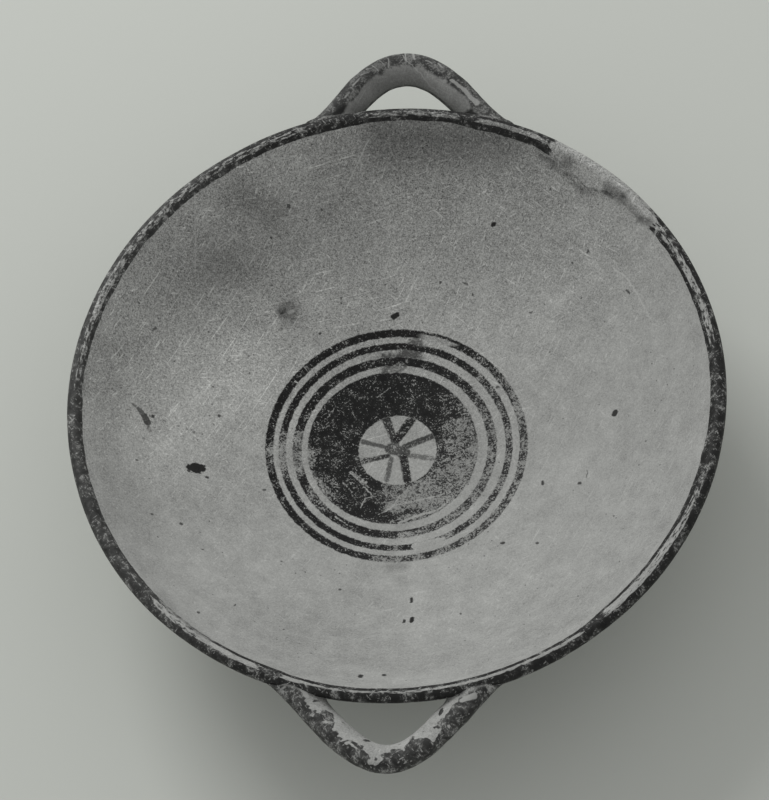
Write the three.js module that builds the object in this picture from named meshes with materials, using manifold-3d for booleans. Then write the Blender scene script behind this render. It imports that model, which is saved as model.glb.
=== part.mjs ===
// A shallow wheel-thrown pottery bowl on a low ring foot, with two horizontal
// loop handles joined to the wall just under the lip. It was fired as one piece,
// so it is one solid. Millimetres, +Z up, origin at the centre of the foot's
// underside, with a handle towards +Y and the other towards -Y.

import * as THREE from 'three';
import { ParametricGeometry } from 'three/addons/geometries/ParametricGeometry.js';
import { mergeVertices } from 'three/addons/utils/BufferGeometryUtils.js';
import Module from 'manifold-3d';

const wasm = await Module();
wasm.setup();

// Bowl
const rimRadius = 105; // outside of the lip, mean
const rimStretch = 1.15; // the lip is this much longer along its long radius and shorter across it
const rimStretchTurn = 85; // direction of the long radius, degrees from +X towards +Y
const insideDepth = 43; // from the lip's crest down to the middle of the floor
const lipThickness = 5;
const wallThickness = 4.4;
const floorThickness = 6;
const wallTurnUp = 0.25; // share of the inside's rise that comes late, as the wall turns up

// Ring foot
const footRadius = 40; // outside, where it stands
const footWidth = 7; // of the ring that stands on the table
const footClearance = 3.5; // from the table up to the middle of the underside
const footTaper = 1.5; // the ring's outside leans in by this much up to the wall
const footEdge = 1; // rounding of its two standing edges

// Handles: each centre line is a round tip that eases into two straight arms
const handleOutreach = 17; // from the lip to the centre of the handle at its tip
const handleBelowLip = 4.3; // from the lip's crest down to the handle's centre line at its tip
const handleLift = 1.2; // and the arms meet the wall this much lower than the tip
const handleWidth = 11.4; // long way across the oval section
const handleThickness = 8.2; // short way across it
const handleLean = 45; // the long way leans outwards and up, degrees above level
const farTipRadius = 13.6; // bend of the centre line at the tip of the handle towards +Y
const farArmSlope = 3.4; // its arms' run towards the wall for each unit that they spread
const nearTipRadius = 11.2; // the handle towards -Y is more pointed
const nearArmSlope = 1.7; // and its arms spread more
const rootFlare = 0.8; // the arms widen by this much on each side where they meet the wall
const rootLength = 6; // length of arm over which they widen
const rootDepth = 34; // the arms run on this far past the lip before the inside is cleared

// Facets
const turnSteps = 72;
const undersideSteps = 4;
const outsideSteps = 12;
const insideSteps = 15;
const lipSteps = 7;
const handleSteps = 32;
const sectionSteps = 14;

// Worked out from the sizes above
const lipRadius = lipThickness / 2;
const middleRadius = rimRadius - lipRadius; // the wall's middle line at the lip
const middleRise = insideDepth - lipRadius + floorThickness / 2; // and its rise from floor to lip
const middleFloor = footClearance + floorThickness / 2;
const lipCrest = footClearance + floorThickness + insideDepth;
const lateRise = 6; // power of the late part of the wall's rise

const degrees = THREE.MathUtils.degToRad;
const smooth = THREE.MathUtils.smoothstep;

// A closed geometry's shared vertices merged, without the flat triangles at its poles, as a solid.
function solid(geometry) {
	geometry.deleteAttribute('normal');
	geometry.deleteAttribute('uv');
	const merged = mergeVertices(geometry, 1e-3);
	const corners = merged.index.array;
	const kept = [];
	for (let i = 0; i < corners.length; i += 3) {
		const [a, b, c] = [corners[i], corners[i + 1], corners[i + 2]];
		if (a !== b && b !== c && c !== a) kept.push(a, b, c);
	}
	return new wasm.Manifold(new wasm.Mesh({
		numProp: 3,
		vertProperties: Float32Array.from(merged.attributes.position.array),
		triVerts: Uint32Array.from(kept),
	}));
}

// Turns a profile of [radius, height] points about the Z axis.
// It runs up the outside first, so that the faces point out.
function turned(profile) {
	const points = profile.map(([radius, height]) => new THREE.Vector2(radius, height));
	const geometry = new THREE.LatheGeometry(points, turnSteps);
	geometry.rotateX(Math.PI / 2);
	const position = geometry.attributes.position;
	for (let i = 0; i < position.count; i++) {
		const grown = 1 + stretch(position.getX(i), position.getY(i), position.getZ(i)) / rimRadius;
		position.setXY(i, position.getX(i) * grown, position.getY(i) * grown);
	}
	return solid(geometry);
}

// How far the lip is out of round at a point, in millimetres. It fades to none at the foot.
function stretch(x, y, height) {
	const turn = Math.atan2(y, x) - degrees(rimStretchTurn);
	return rimStretch * Math.cos(2 * turn) * smooth(height, footClearance, lipCrest);
}

// The wall's middle line: height at a share of its radius, and its slope there.
function middleHeight(share) {
	return middleFloor + middleRise * ((1 - wallTurnUp) * share ** 2 + wallTurnUp * share ** lateRise);
}

function middleSlope(share) {
	const early = 2 * (1 - wallTurnUp) * share;
	const late = lateRise * wallTurnUp * share ** (lateRise - 1);
	return Math.atan((middleRise / middleRadius) * (early + late));
}

// Full thickness at the floor, thinner up the wall, and thicker again at the lip.
function thickness(share) {
	const lower = THREE.MathUtils.lerp(floorThickness, wallThickness, smooth(share, 0, 0.6));
	return lower + (lipThickness - wallThickness) * smooth(share, 0.8, 1);
}

// A point on a face of the wall: side 1 is the inside, -1 the outside, 0 the middle line.
function wallPoint(share, side) {
	const slope = middleSlope(share);
	const away = (side * thickness(share)) / 2;
	const radius = share * middleRadius - Math.sin(slope) * away;
	return [radius, middleHeight(share) + Math.cos(slope) * away];
}

// Points along a face of the wall between two shares of its radius.
function wallLine(from, to, side, steps) {
	return Array.from({ length: steps + 1 }, (_, i) => {
		return wallPoint(THREE.MathUtils.lerp(from, to, i / steps), side);
	});
}

// The lip is a half round across the end of the wall, from its outside to its inside.
function lipLine() {
	const slope = middleSlope(1);
	return Array.from({ length: lipSteps - 1 }, (_, i) => {
		const turn = slope - Math.PI / 2 + (Math.PI * (i + 1)) / lipSteps;
		return [middleRadius + lipRadius * Math.cos(turn), middleHeight(1) + lipRadius * Math.sin(turn)];
	});
}

// The ring foot, from the underside inside it, round its standing face and up to the wall.
function footLine() {
	const inner = footRadius - footWidth;
	const innerTop = wallPoint(inner / middleRadius, -1)[1];
	const outerTop = wallPoint(footRadius / middleRadius, -1)[1];
	return [
		[inner, innerTop],
		[inner, footEdge],
		[inner + footEdge, 0],
		[footRadius - footEdge, 0],
		[footRadius, footEdge],
		[footRadius - footTaper, outerTop - footEdge],
		[footRadius, outerTop],
	];
}

function body() {
	const footInside = (footRadius - footWidth) / middleRadius;
	const footOutside = (footRadius + footTaper) / middleRadius;
	const underside = wallLine(0, footInside, -1, undersideSteps).slice(0, -1);
	const outside = wallLine(footOutside, 1, -1, outsideSteps);
	const inside = wallLine(1, 0, 1, insideSteps);
	return turned([...underside, ...footLine(), ...outside, ...lipLine(), ...inside]);
}

// Everything inside the wall's middle line, and straight up above the lip.
function inside() {
	const above = lipCrest + handleWidth;
	return turned([...wallLine(0, 1, 0, insideSteps), [middleRadius, above], [0, above]]);
}

// One handle: an oval carried along a hyperbola, out from the wall, round the tip and back.
// Its section widens where each arm meets the wall.
function handle(side, tipRadius, armSlope) {
	const lip = rimRadius + rimStretch;
	const tip = lip + handleOutreach;
	const tipHeight = lipCrest - handleBelowLip;
	const lean = degrees(handleLean);
	const halfWidth = armSlope * tipRadius; // the hyperbola's two half axes
	const halfLength = armSlope ** 2 * tipRadius;
	const fullBack = handleOutreach + rootDepth;
	const halfSpan = halfWidth * Math.sqrt((fullBack / halfLength + 1) ** 2 - 1);

	return solid(new ParametricGeometry((around, along, target) => {
		const across = THREE.MathUtils.lerp(-halfSpan, halfSpan, along);
		const reach = Math.hypot(1, across / halfWidth);
		const backed = halfLength * (reach - 1);
		const bend = Math.atan((armSlope * across) / (halfWidth * reach));
		const closing = along > 0 && along < 1 ? 1 : 0;
		const height = tipHeight - handleLift * smooth(backed, 0, handleOutreach);
		const spread = smooth(backed, handleOutreach - rootLength, handleOutreach) * rootFlare;
		const turn = 2 * Math.PI * around;
		const long = (handleWidth / 2) * Math.cos(turn);
		const short = (handleThickness / 2) * Math.sin(turn);
		const outwards = closing * (long * Math.cos(lean) - short * Math.sin(lean));
		const upwards = closing * (long * Math.sin(lean) + short * Math.cos(lean));
		const wider = outwards * (1 + (2 * spread) / handleWidth);
		target.set(
			side * (across + wider * Math.sin(bend)),
			side * (tip - backed + wider * Math.cos(bend)),
			height + upwards,
		);
	}, sectionSteps, handleSteps));
}

function bowl() {
	const far = handle(1, farTipRadius, farArmSlope);
	const near = handle(-1, nearTipRadius, nearArmSlope);
	const joined = body().add(far.add(near).subtract(inside()));
	const mesh = joined.getMesh();
	const geometry = new THREE.BufferGeometry();
	geometry.setAttribute('position', new THREE.Float32BufferAttribute(mesh.vertProperties, 3));
	geometry.setIndex(Array.from(mesh.triVerts));
	geometry.computeVertexNormals();
	return geometry;
}

const pottery = new THREE.MeshStandardMaterial({ color: 0x8d8c86, roughness: 0.72, metalness: 0 });
const model = new THREE.Group();
const vessel = new THREE.Mesh(bowl(), pottery);
vessel.name = 'bowl';
model.add(vessel);

export default model;
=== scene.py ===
"""A shallow two-handled pottery bowl with a painted medallion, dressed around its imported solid.

The wall, lip, foot and handles are one fine mesh, worked out from the solid's own sizes.
Lengths are in millimetres here and become metres where a mesh is made."""
import math

import bpy
import numpy as np
from mathutils import Matrix, Vector


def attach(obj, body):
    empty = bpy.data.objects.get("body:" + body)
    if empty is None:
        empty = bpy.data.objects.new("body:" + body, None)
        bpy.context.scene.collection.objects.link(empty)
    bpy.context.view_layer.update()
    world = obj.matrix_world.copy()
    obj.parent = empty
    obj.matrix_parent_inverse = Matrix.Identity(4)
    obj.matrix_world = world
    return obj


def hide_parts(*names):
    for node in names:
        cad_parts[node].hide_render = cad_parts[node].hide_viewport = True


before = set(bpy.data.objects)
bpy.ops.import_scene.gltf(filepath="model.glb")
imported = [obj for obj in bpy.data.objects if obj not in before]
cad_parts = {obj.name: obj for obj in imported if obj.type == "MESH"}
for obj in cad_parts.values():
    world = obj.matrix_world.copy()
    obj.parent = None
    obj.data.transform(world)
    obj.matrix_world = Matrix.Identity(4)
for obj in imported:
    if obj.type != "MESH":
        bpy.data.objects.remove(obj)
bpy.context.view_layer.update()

MM = 0.001
PHOTO_WIDTH, PHOTO_HEIGHT = 769, 800

# The bowl's sizes, as its solid has them
RIM_RADIUS = 105.0
RIM_STRETCH = 1.15
RIM_STRETCH_TURN = math.radians(85.0)
INSIDE_DEPTH = 43.0
LIP_THICKNESS = 5.0
WALL_THICKNESS = 4.4
FLOOR_THICKNESS = 6.0
WALL_TURN_UP = 0.25
LATE_RISE = 6
FOOT_RADIUS = 40.0
FOOT_WIDTH = 7.0
FOOT_CLEARANCE = 3.5
FOOT_TAPER = 1.5
FOOT_EDGE = 1.0
HANDLE_OUTREACH = 17.0
HANDLE_BELOW_LIP = 4.3
HANDLE_LIFT = 1.2
HANDLE_WIDTH = 11.4
HANDLE_THICKNESS = 8.2
HANDLE_LEAN = math.radians(45.0)
SKIN = 0.14  # the fine surface keeps this far inside the solid's corners

LIP_RADIUS = LIP_THICKNESS / 2
MIDDLE_RADIUS = RIM_RADIUS - LIP_RADIUS
MIDDLE_RISE = INSIDE_DEPTH - LIP_RADIUS + FLOOR_THICKNESS / 2
MIDDLE_FLOOR = FOOT_CLEARANCE + FLOOR_THICKNESS / 2
LIP_CREST = FOOT_CLEARANCE + FLOOR_THICKNESS + INSIDE_DEPTH
LIP_CENTRE = LIP_CREST - LIP_RADIUS

# Fine mesh
TURN_STEPS = 448
UNDERSIDE_STEPS = 12
OUTSIDE_STEPS = 40
LIP_STEPS = 16
INSIDE_STEPS = 88
FOOT_POINTS = 5  # on each short line of the foot's section
FOOT_RISE_POINTS = 8


def smooth(value, low, high):
    """0 below low, 1 above high, with an S curve between."""
    share = np.clip((value - low) / (high - low), 0, 1)
    return share * share * (3 - 2 * share)


WAVE_PACES = (0.6, 1.5)  # range of the waves' paces against the stated size
WAVE_RANGE = 1.6  # brings their sum to about -1 to 1


def waves(points, size, seed, count):
    """Soft noise from -1 to 1: the mean of plane waves about size long, in random directions."""
    draw = np.random.default_rng(seed)
    aim = draw.normal(size=(count, 3))
    aim /= np.linalg.norm(aim, axis=1)[:, None]
    pace = 2 * math.pi / size * draw.uniform(*WAVE_PACES, count)
    start = draw.uniform(0, 2 * math.pi, count)
    flat = points.reshape(-1, 3) @ (aim * pace[:, None]).T + start
    return (np.cos(flat).sum(1) / math.sqrt(count) / WAVE_RANGE).reshape(points.shape[:-1])


def unevenness(points, layers):
    """The sum of soft noises: each layer has a rise, a size, a seed and a number of waves."""
    return sum(rise * waves(points, size, seed, count) for rise, size, seed, count in layers)


# The wall

def middle_height(share):
    """Height of the wall's middle line at a share of its radius: a square part and a late steep one."""
    return MIDDLE_FLOOR + MIDDLE_RISE * ((1 - WALL_TURN_UP) * share ** 2 + WALL_TURN_UP * share ** LATE_RISE)


def middle_slope(share):
    """Angle of the middle line above level."""
    early = 2 * (1 - WALL_TURN_UP) * share
    late = LATE_RISE * WALL_TURN_UP * share ** (LATE_RISE - 1)
    return np.arctan(MIDDLE_RISE / MIDDLE_RADIUS * (early + late))


FLOOR_REACH = 0.6  # share of the radius where the floor has thinned to the wall
LIP_START = 0.8  # share where the wall begins to thicken to the lip


def wall_line(start, end, side, steps):
    """Points on one face of the wall, half its thickness from the middle line: side 1 inside, -1 outside."""
    share = np.linspace(start, end, steps + 1)
    slope = middle_slope(share)
    lower = FLOOR_THICKNESS + (WALL_THICKNESS - FLOOR_THICKNESS) * smooth(share, 0, FLOOR_REACH)
    thick = lower + (LIP_THICKNESS - WALL_THICKNESS) * smooth(share, LIP_START, 1)
    away = side * thick / 2
    return np.stack([share * MIDDLE_RADIUS - np.sin(slope) * away,
                     middle_height(share) + np.cos(slope) * away], 1)


def lip_line():
    """The lip's half round, from the outside over the crest to the inside."""
    slope = float(middle_slope(1.0))
    turn = slope - math.pi / 2 + math.pi * np.arange(1, LIP_STEPS) / LIP_STEPS
    return np.stack([MIDDLE_RADIUS + LIP_RADIUS * np.cos(turn), LIP_CENTRE + LIP_RADIUS * np.sin(turn)], 1)


def foot_line():
    """The ring foot's section with rounded standing edges and a small cove up to the wall."""
    inner = FOOT_RADIUS - FOOT_WIDTH
    inner_top = wall_line(inner / MIDDLE_RADIUS, 1, -1, 1)[0, 1]
    outer_top = wall_line(FOOT_RADIUS / MIDDLE_RADIUS, 1, -1, 1)[0, 1]
    corner = np.linspace(0, math.pi / 2, FOOT_POINTS)
    inside_edge = np.stack([inner + FOOT_EDGE * (1 - np.cos(corner)), FOOT_EDGE * (1 - np.sin(corner))], 1)
    outside_edge = np.stack([FOOT_RADIUS - FOOT_EDGE * (1 - np.sin(corner)),
                             FOOT_EDGE * (1 - np.cos(corner))], 1)
    down = np.linspace([inner, inner_top], [inner, FOOT_EDGE], FOOT_POINTS)[:-1]
    rise = np.linspace(0.15, 1, FOOT_RISE_POINTS)[:, None]
    under_wall = np.array([FOOT_RADIUS - FOOT_TAPER, outer_top - FOOT_EDGE])
    up = outside_edge[-1] + rise * (under_wall - outside_edge[-1])
    return np.concatenate([down, inside_edge, outside_edge, up])


def body_profile():
    """The closed section, from the middle of the underside, up the outside and down the inside.
    Returns its points, outward normals and whether each belongs to the inside with the lip's top."""
    foot_in = (FOOT_RADIUS - FOOT_WIDTH) / MIDDLE_RADIUS
    foot_out = (FOOT_RADIUS + FOOT_TAPER) / MIDDLE_RADIUS
    underside = wall_line(0, foot_in, -1, UNDERSIDE_STEPS)[:-1]
    outside = wall_line(foot_out, 1, -1, OUTSIDE_STEPS)
    lip = lip_line()
    inside = wall_line(1, 0, 1, INSIDE_STEPS)
    points = np.concatenate([underside, foot_line(), outside, lip, inside])
    along = np.gradient(points, axis=0)
    along /= np.linalg.norm(along, axis=1)[:, None]
    normals = np.stack([along[:, 1], -along[:, 0]], 1)
    widest = len(points) - len(inside) - len(lip) + int(np.argmax(lip[:, 0]))
    return points, normals, np.arange(len(points)) >= widest


def stretch(turn, height):
    """How much wider than its mean the bowl is in a direction, as a share, growing from foot to lip."""
    rise = smooth(height, FOOT_CLEARANCE, LIP_CREST)
    return RIM_STRETCH / RIM_RADIUS * np.cos(2 * (turn - RIM_STRETCH_TURN)) * rise


def unstretched(points):
    """Each point's radius with the bowl's out-of-round taken off."""
    turn = np.arctan2(points[..., 1], points[..., 0])
    return np.hypot(points[..., 0], points[..., 1]) / (1 + stretch(turn, points[..., 2]))


# Ridges left by the fingers on the wheel: radius, height, half width, side where strongest in degrees
WHEEL_RIDGES = [
    (49, 0.05, 1.4, 250), (56, 0.07, 1.8, 70), (62.5, 0.06, 1.3, 200), (67.5, 0.12, 1.6, 100),
    (72, 0.08, 1.2, 60), (77.5, 0.12, 1.5, 95), (82, 0.06, 1.2, 300), (86, 0.1, 1.4, 40),
    (91, 0.06, 1.3, 220), (95.5, 0.07, 1.2, 120),
]
# Hollows in the surface: x, y, half length, half width, turn in degrees, depth
HOLLOWS = [
    (-40.4, 46.2, 1.6, 1.4, 0, 0.55), (-36.6, 45.4, 1, 1.6, 20, 0.35), (-37.6, 48.2, 1.8, 0.8, 30, 0.3),
    (-84.2, 1.4, 2.4, 0.9, -35, 0.45), (-81.8, -2.4, 2.6, 0.8, -72, 0.5), (-80, 31.3, 1.5, 0.5, 45, 0.25),
    (-41.5, 39.5, 2.4, 0.45, 35, 0.2), (-2.7, 29.5, 1.2, 1, 0, 0.35), (-29.3, 37.5, 1.7, 1.9, 0, 0.18),
    (60, -15.5, 0.4, 1.6, 5, 0.18), (73, 43.6, 0.9, 0.5, -40, 0.25), (29, 73.2, 0.9, 0.8, 0, 0.22),
    (68.6, 5.2, 1, 1.4, 20, 0.22),
]
BODY_UNEVEN = [(0.10, 34.0, 3, 28), (0.05, 11.0, 4, 28), (0.018, 3.2, 5, 40)]
TURNING_PITCH, TURNING_RISE = 3.4, 0.022  # the fine spiral left by turning
BLISTER_PLACE, BLISTER_RADIUS, BLISTER_RISE = (-38.4, 46.4), 3.6, 0.22
STANDING_ZONE = (0.2, 1.6)  # heights over which the relief begins above the standing edge
LIP_ZONE = (6, 3)  # depths under the crest over which the relief is held back
LIP_RELIEF = 0.12


def ellipse_reach(x, y, mark):
    """Distance from a mark's centre in units of its half axes."""
    cx, cy, long, short, turn = mark[:5]
    c, s = math.cos(math.radians(turn)), math.sin(math.radians(turn))
    u, v = (x - cx) * c + (y - cy) * s, -(x - cx) * s + (y - cy) * c
    return np.hypot(u / long, v / short)


def body_relief(points, radius, turn, inside):
    """Height of the hand-made surface over the true form: wheel ridges, soft unevenness, hollows and pits."""
    relief = unevenness(points, BODY_UNEVEN)
    for ridge, rise, half, side in WHEEL_RIDGES:
        drift = ridge + 0.5 * np.sin(turn * 2 + ridge) + 0.25 * np.sin(turn * 5 + 2 * ridge)
        fade = 0.35 + 0.65 * (0.5 + 0.5 * np.cos(turn - math.radians(side)))
        relief += rise * fade * np.exp(-((radius - drift) / half) ** 2) * np.where(inside, 1.0, 0.8)
    spiral = np.sin(2 * math.pi * radius / TURNING_PITCH + turn)
    relief += TURNING_RISE * spiral * (0.6 + 0.4 * waves(points, 30.0, 6, 28)) * smooth(radius, 6, 20)
    for hollow in HOLLOWS:
        reach = ellipse_reach(points[..., 0], points[..., 1], hollow)
        relief -= np.where(inside, hollow[5], 0) * np.exp(-reach ** 2 * 1.4)
    blister = np.hypot(points[..., 0] - BLISTER_PLACE[0], points[..., 1] - BLISTER_PLACE[1])
    return relief + np.where(inside, BLISTER_RISE, 0) * np.exp(-(blister / BLISTER_RADIUS) ** 2)


def closed_grid(rows, columns):
    """Quads of a grid that closes round its columns, and triangles from its first and last row to the two
    poles whose points follow the grid's."""
    row, column = np.meshgrid(np.arange(rows - 1), np.arange(columns), indexing="ij")
    beside = (column + 1) % columns
    quads = np.stack([row * columns + column, row * columns + beside, (row + 1) * columns + beside,
                      (row + 1) * columns + column], -1).reshape(-1, 4)
    column = np.arange(columns)
    beside = (column + 1) % columns
    last = (rows - 1) * columns
    first_pole = np.full(columns, rows * columns)
    return [quads, np.stack([first_pole, beside, column], 1),
            np.stack([first_pole + 1, last + column, last + beside], 1)]


def in_scene(name, data):
    """A new object of the scene that holds the data."""
    item = bpy.data.objects.new(name, data)
    bpy.context.scene.collection.objects.link(item)
    return item


def make_mesh(name, points, blocks, slots=None):
    """A mesh in metres from points in millimetres and blocks of faces."""
    mesh = bpy.data.meshes.new(name)
    mesh.from_pydata((points * MM).tolist(), [], [tuple(face) for block in blocks for face in block.tolist()])
    if slots is not None:
        mesh.polygons.foreach_set("material_index", np.asarray(slots, np.int32))
    mesh.polygons.foreach_set("use_smooth", np.ones(len(mesh.polygons), bool))
    mesh.update()
    return in_scene(name, mesh)


def read(items, key, kind=float):
    """One property of all items of a mesh, three numbers a row."""
    values = np.zeros(len(items) * 3, kind)
    items.foreach_get(key, values)
    return values.reshape(-1, 3)


def body_piece():
    """The profile carried round the axis, widened towards the handles, with its relief along the normals.
    The first and last points are the closed poles."""
    profile, normals, inside = body_profile()
    turn = np.linspace(0, 2 * math.pi, TURN_STEPS, endpoint=False)
    ring, ring_normal, within = profile[1:-1], normals[1:-1], inside[1:-1]
    radius = np.repeat(ring[:, :1], TURN_STEPS, 1)
    height = np.repeat(ring[:, 1:], TURN_STEPS, 1)
    around = np.repeat(turn[None], len(ring), 0)
    out = np.stack([np.cos(around), np.sin(around), np.zeros_like(around)], -1)
    up = np.array([0.0, 0.0, 1.0])
    base = radius[..., None] * (1 + stretch(around, height))[..., None] * out + height[..., None] * up
    normal = ring_normal[:, None, :1] * out + ring_normal[:, None, 1:] * up
    relief = body_relief(base, radius, around, within[:, None]) - SKIN
    relief = relief * smooth(height, *STANDING_ZONE)
    lipward = smooth(height, LIP_CREST - LIP_ZONE[0], LIP_CREST - LIP_ZONE[1])
    relief = np.where(lipward > 0, np.minimum(relief, LIP_RELIEF * (1 - 2 * lipward)), relief)
    points = (base + normal * relief[..., None]).reshape(-1, 3)
    points[:, 2] = np.maximum(points[:, 2], 0.0)
    poles = np.array([[0, 0, profile[0, 1] + SKIN], [0, 0, profile[-1, 1] - SKIN]])
    slots = np.concatenate([np.repeat(np.where(within[:-1] & within[1:], 0, 1), TURN_STEPS),
                            np.ones(TURN_STEPS), np.zeros(TURN_STEPS)])
    return make_mesh("bowl_body", np.concatenate([points, poles]), closed_grid(len(ring), TURN_STEPS), slots)


# The handles: side, tip radius, arm slope, lean of the loop along X, shift of its tip along X
HANDLES = [(1, 13.6, 3.4, 0.061, 0.6), (-1, 11.2, 1.7, 0.031, -0.2)]
HANDLE_STEPS = 150
SECTION_STEPS = 40
ROOT_COVES = (2.0, 10.0)  # radii of the clay smoothed in at an arm's root, inside and outside the loop
ROOT_DIP = 0.18  # its foot goes this far under the wall's face, so that the joint is clean
WALL_LEAN = (0.79, 0.61)  # outward and downward parts of the outer wall's facing near the lip
HANDLE_UNEVEN = [(0.15, 16.0, 8, 28), (0.10, 6.0, 9, 28), (0.03, 2.2, 10, 28)]
HANDLE_SWELL = 0.25  # most that the unevenness adds, away from the tip
TIP_ZONE = (116, 124)  # distances along Y over which it stops adding
HANDLE_TOP, ROOT_TOP, ROOT_RISE = 0.42, -0.48, 7.5  # tops above the lip's crest, and the way between them
HANDLE_SPAN, HANDLE_SAMPLES = 46.0, 1201  # half width and points of the line that an arm is cut from
TIP_EASE = 0.4  # how much closer the steps lie at the roots than at the tip


def wall_distance(points):
    """Distance outside the bowl's outer face, from the nearest point of its section, negative in the clay."""
    flat = np.stack([unstretched(points), points[..., 2]], -1).reshape(-1, 2)
    line = np.concatenate([wall_line(0.6, 1, -1, 60), lip_line()])
    start, run = line[:-1], np.diff(line, axis=0)
    share = np.clip(((flat[:, None] - start) * run).sum(2) / (run ** 2).sum(1), 0, 1)
    gap = flat[:, None] - (start + run * share[..., None])
    near = np.linalg.norm(gap, axis=2).argmin(1)
    pick = np.arange(len(flat))
    outward = np.stack([run[near, 1], -run[near, 0]], 1)
    sign = np.sign((gap[pick, near] * outward).sum(1))
    return (np.linalg.norm(gap[pick, near], axis=1) * sign).reshape(points.shape[:-1])


def handle_line(across, tip_radius, arm_slope, lean, shift, side):
    """The centre line in plan, a hyperbola with its round tip outwards: its points and outward normals."""
    half_width, half_length = arm_slope * tip_radius, arm_slope ** 2 * tip_radius
    reach = np.hypot(1, across / half_width)
    backed = half_length * (reach - 1)
    tip = RIM_RADIUS + RIM_STRETCH + HANDLE_OUTREACH
    height = LIP_CREST - HANDLE_BELOW_LIP - HANDLE_LIFT * smooth(backed, 0, HANDLE_OUTREACH)
    centre = np.stack([side * (across + lean * backed + shift), side * (tip - backed), height], -1)
    along = np.gradient(centre[:, :2], axis=0)
    along /= np.linalg.norm(along, axis=1)[:, None]
    normal = np.stack([-along[:, 1], along[:, 0], np.zeros(len(along))], -1)
    return centre, normal * np.sign(side * normal[len(normal) // 2, 1])


def handle_surface(across, handle):
    """The oval section carried along the centre line, its points moved out along a cove near the wall."""
    side, tip_radius, arm_slope, lean, shift = handle
    centre, normal = handle_line(across, tip_radius, arm_slope, lean, shift, side)
    turn = np.linspace(0, 2 * math.pi, SECTION_STEPS, endpoint=False)
    long, short = (HANDLE_WIDTH / 2 - SKIN) * np.cos(turn), (HANDLE_THICKNESS / 2 - SKIN) * np.sin(turn)
    outwards = long * math.cos(HANDLE_LEAN) - short * math.sin(HANDLE_LEAN)
    upwards = long * math.sin(HANDLE_LEAN) + short * math.cos(HANDLE_LEAN)
    spoke = normal[:, None] * outwards[None, :, None] + np.array([0, 0, 1.0]) * upwards[None, :, None]
    plain = centre[:, None] + spoke
    aim = spoke / np.linalg.norm(spoke, axis=2)[..., None]
    swell = HANDLE_SWELL * (1 - smooth(np.abs(plain[..., 1]), *TIP_ZONE))
    shaped = plain + aim * np.minimum(unevenness(plain, HANDLE_UNEVEN), swell)[..., None]
    away = np.hypot(shaped[..., 0], shaped[..., 1])
    rise = smooth(away, MIDDLE_RADIUS, MIDDLE_RADIUS + ROOT_RISE)
    ceiling = LIP_CREST + ROOT_TOP + (HANDLE_TOP - ROOT_TOP) * rise
    shaped[..., 2] = np.minimum(shaped[..., 2], ceiling)
    depth = wall_distance(shaped)
    rounding = ROOT_COVES[0] + (ROOT_COVES[1] - ROOT_COVES[0]) * smooth(outwards / HANDLE_WIDTH, -0.05, 0.35)
    gap = np.clip(depth + ROOT_DIP, 0, rounding)
    cove = rounding - np.sqrt(rounding ** 2 - (rounding - gap) ** 2)
    # no cove deep in the wall, less of it where the handle faces the wall, and little on the handle's top
    cove *= smooth(depth, -1.6, -0.1)
    radial = shaped * np.array([1, 1, 0]) / away[..., None]
    wall_facing = radial * WALL_LEAN[0] - np.array([0, 0, WALL_LEAN[1]])
    cove *= np.clip(1 - 0.9 * np.maximum((aim * wall_facing).sum(-1), 0), 0, 1)
    cove *= 1 - 0.94 * smooth(aim[..., 2], -0.1, 0.75)
    moved = shaped + aim * cove[..., None]
    # from below, the cove keeps each point's distance from the wall
    lift = (wall_distance(moved) - depth) * smooth(cove, 0, 0.4) * smooth(-aim[..., 2], -0.8, -0.3)
    return moved - wall_facing * np.maximum(lift, 0)[..., None]


def handle_piece(handle, name):
    """One handle as a closed tube whose ends lie inside the wall. Each of its lines runs between the
    places where it has gone half a wall deep, so that nothing reaches the inside of the bowl."""
    across = np.linspace(-HANDLE_SPAN, HANDLE_SPAN, HANDLE_SAMPLES)
    lines = handle_surface(across, handle)
    share = np.linspace(0, 1, 201)
    buried = unstretched(lines) < np.interp(lines[..., 2], middle_height(share), share * MIDDLE_RADIUS)
    middle = len(across) // 2
    steps = np.arange(len(across))[:, None]
    first = np.where(buried & (steps < middle), steps, -1).max(0)
    last = np.where(buried & (steps > middle), steps, len(across)).min(0)
    ease = np.linspace(0, 1, HANDLE_STEPS)
    ease = ease - TIP_EASE * np.sin(2 * math.pi * ease) / (2 * math.pi)
    place = first[None] + ease[:, None] * (last - first)[None]
    low = np.floor(place).astype(int).clip(0, len(across) - 2)
    share = (place - low)[..., None]
    column = np.arange(SECTION_STEPS)[None]
    points = lines[low, column] * (1 - share) + lines[low + 1, column] * share
    ends = np.stack([points[0].mean(0), points[-1].mean(0)])
    blocks = closed_grid(HANDLE_STEPS, SECTION_STEPS)
    slots = np.full(sum(len(block) for block in blocks), 1)
    return make_mesh(name, np.concatenate([points.reshape(-1, 3), ends]), blocks, slots)


def outward(piece):
    """Turns a closed mesh's faces outwards if its volume comes out negative."""
    mesh = piece.data
    mesh.calc_loop_triangles()
    a, b, c = read(mesh.vertices, "co")[read(mesh.loop_triangles, "vertices", np.int32)].transpose(1, 0, 2)
    if (np.cross(a, b) * c).sum() < 0:
        mesh.flip_normals()
    return piece


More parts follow.
